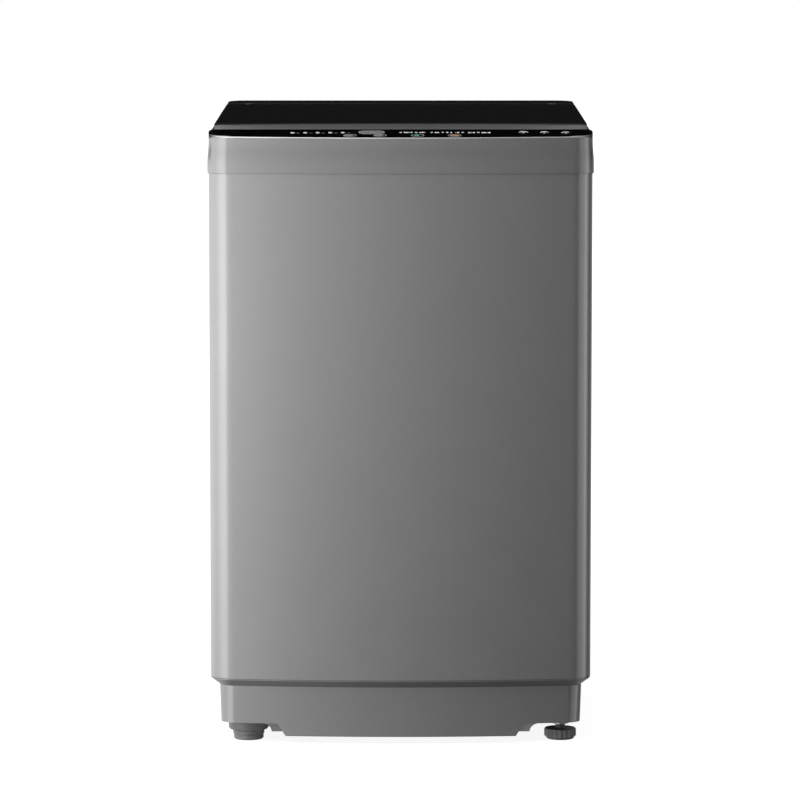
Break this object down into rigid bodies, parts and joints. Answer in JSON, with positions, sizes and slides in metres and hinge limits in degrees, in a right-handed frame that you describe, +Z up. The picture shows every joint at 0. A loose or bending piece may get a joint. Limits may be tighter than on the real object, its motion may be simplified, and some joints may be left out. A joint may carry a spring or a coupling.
{
  "type": "top load washing machine",
  "caption": "Free-standing top-loading pulsator washing machine with a bowed silver cabinet, black hinged lid, sloping control panel and hung tub.",
  "frame": {"origin": "centre of the body's footprint, on the floor", "axes": "+Z up, -Y towards the user (front), +X to the right of a user facing the front"},
  "size_m": [0.55, 0.56, 0.914],
  "materials": {
    "silver_paint": "satin",
    "silver_plastic": "satin",
    "galvanised": "satin",
    "black_glass": "gloss",
    "black_gloss": "gloss",
    "black_plastic": "matte",
    "smoked_window": "gloss",
    "clear_lens": "gloss",
    "circuit_board": "satin",
    "key_plastic": "gloss",
    "steel": "satin",
    "stainless": "polished",
    "white_plastic": "satin",
    "pale_grey_plastic": "satin",
    "drawer_plastic": "satin",
    "grey_rubber": "matte",
    "black_rubber": "matte",
    "foot_plastic": "matte",
    "actuator_plastic": "matte",
    "capacitor_case": "satin",
    "cast_aluminium": "satin",
    "motor_paint": "satin"
  },
  "bodies": {
    "cabinet": {"cabinet_shell": "silver_paint", "rear_panel": "galvanised", "base_frame": "silver_plastic", "front_left_foot": "foot_plastic", "rear_feet": "foot_plastic", "top_frame": "silver_plastic", "rear_deck": "black_gloss", "control_panel": "black_gloss", "display_window": "smoked_window", "indicator_lenses": "clear_lens", "control_board": "circuit_board", "hinge_pins": "steel", "detergent_housing": "white_plastic", "inlet_valve": "white_plastic", "inlet_hose": "grey_rubber", "level_switch": "white_plastic", "lid_switch": "white_plastic", "cord_gland": "black_plastic", "capacitor": "capacitor_case", "hanger_brackets": "galvanised", "suspension_rods": "steel", "suspension_springs": "steel", "drain_outlet": "foot_plastic", "drain_hose": "grey_rubber", "cabinet_screws": "steel"},
    "tub": {"outer_tub": "white_plastic", "tub_cover": "white_plastic", "tub_support": "galvanised", "clutch_housing": "cast_aluminium", "spin_bearings": "steel", "motor": "motor_paint", "drain_valve": "white_plastic", "drain_actuator": "actuator_plastic", "shaft_seal": "black_rubber", "spring_cups": "grey_rubber", "drive_belt": "black_rubber", "tub_fasteners": "steel"},
    "basket": {"basket_wall": "stainless", "basket_base": "pale_grey_plastic", "balance_ring": "pale_grey_plastic", "basket_flange": "cast_aluminium", "spin_shaft": "steel", "lint_filters": "pale_grey_plastic"},
    "agitator": {"pulsator": "pale_grey_plastic", "pulsator_screw": "steel", "wash_shaft": "steel"},
    "drive_pulley": {"clutch_pulley": "cast_aluminium", "input_shaft": "steel"},
    "motor_rotor": {"motor_pulley": "cast_aluminium"},
    "brake_arm": {"brake_lever": "steel"},
    "valve_rod": {"pull_rod": "actuator_plastic"},
    "foot_base": {"level_foot_pad": "foot_plastic"},
    "foot_wheel": {"level_foot_screw": "foot_plastic"},
    "drawer": {"detergent_drawer": "drawer_plastic"},
    "lid": {"lid_glass": "black_glass", "lid_frame": "black_plastic", "lid_handle": "silver_plastic"},
    "power_button": {"power_key": "key_plastic"},
    "start_button": {"start_key": "key_plastic"},
    "program_button": {"program_key": "key_plastic"}
  },
  "joints": [
    {"name": "lid_hinge", "type": "hinge", "parent": "cabinet", "child": "lid", "pos_m": [0, 0.201, 0.9039], "axis": [-1, 0, 0], "range_deg": [0, 98]},
    {"name": "tub_bounce", "type": "slide", "parent": "cabinet", "child": "tub", "axis": [0, 0, 1], "range_m": [-0.02, 0.008], "stiffness_N_per_m": 12000, "springref_m": 0.01993, "deforming": ["suspension_springs", "drain_hose"]},
    {"name": "basket_spin", "type": "hinge", "parent": "tub", "child": "basket", "pos_m": [0, 0, 0.4], "axis": [0, 0, 1], "continuous": true},
    {"name": "pulley_turn", "type": "hinge", "parent": "tub", "child": "drive_pulley", "pos_m": [0, 0, 0.07], "axis": [0, 0, 1], "continuous": true},
    {"name": "motor_turn", "type": "hinge", "parent": "tub", "child": "motor_rotor", "pos_m": [-0.118, 0.117, 0.07], "axis": [0, 0, 1], "continuous": true},
    {"name": "agitator_turn", "type": "hinge", "parent": "tub", "child": "agitator", "pos_m": [0, 0, 0.24], "axis": [0, 0, 1], "continuous": true},
    {"name": "valve_pull", "type": "slide", "parent": "tub", "child": "valve_rod", "axis": [0, -1, 0], "range_m": [0, 0.014], "stiffness_N_per_m": 600, "springref_m": -0.004},
    {"name": "brake_swing", "type": "hinge", "parent": "tub", "child": "brake_arm", "pos_m": [0.066, -0.05, 0.105], "axis": [0, 0, -1], "range_deg": [-0.5, 13]},
    {"name": "drawer_slide", "type": "slide", "parent": "cabinet", "child": "drawer", "axis": [0, -1, 0], "range_m": [0, 0.08]},
    {"name": "foot_turn", "type": "hinge", "parent": "foot_base", "child": "foot_wheel", "pos_m": [0.2305, -0.208, 0.01], "axis": [0, 0, 1], "range_deg": [-900, 2700]},
    {"name": "foot_height", "type": "slide", "parent": "cabinet", "child": "foot_base", "axis": [0, 0, -1], "range_m": [-0.0051, 0.0151]},
    {"name": "power_press", "type": "slide", "parent": "cabinet", "child": "power_button", "axis": [0, 0.2898, -0.9571], "range_m": [0, 0.0012], "stiffness_N_per_m": 400, "springref_m": -0.001},
    {"name": "start_press", "type": "slide", "parent": "cabinet", "child": "start_button", "axis": [0, 0.2676, -0.9635], "range_m": [0, 0.0012], "stiffness_N_per_m": 400, "springref_m": -0.001},
    {"name": "program_press", "type": "slide", "parent": "cabinet", "child": "program_button", "axis": [0, 0.2516, -0.9678], "range_m": [0, 0.0012], "stiffness_N_per_m": 400, "springref_m": -0.001}
  ],
  "couplings": [
    {"joint": "motor_turn", "follows": "pulley_turn", "ratio": 3.4762},
    {"joint": "agitator_turn", "follows": "pulley_turn", "ratio": 0.2},
    {"joint": "brake_swing", "follows": "valve_pull", "rad_per_m": 15.385},
    {"joint": "foot_height", "follows": "foot_turn", "m_per_rad": 0.00031831}
  ]
}
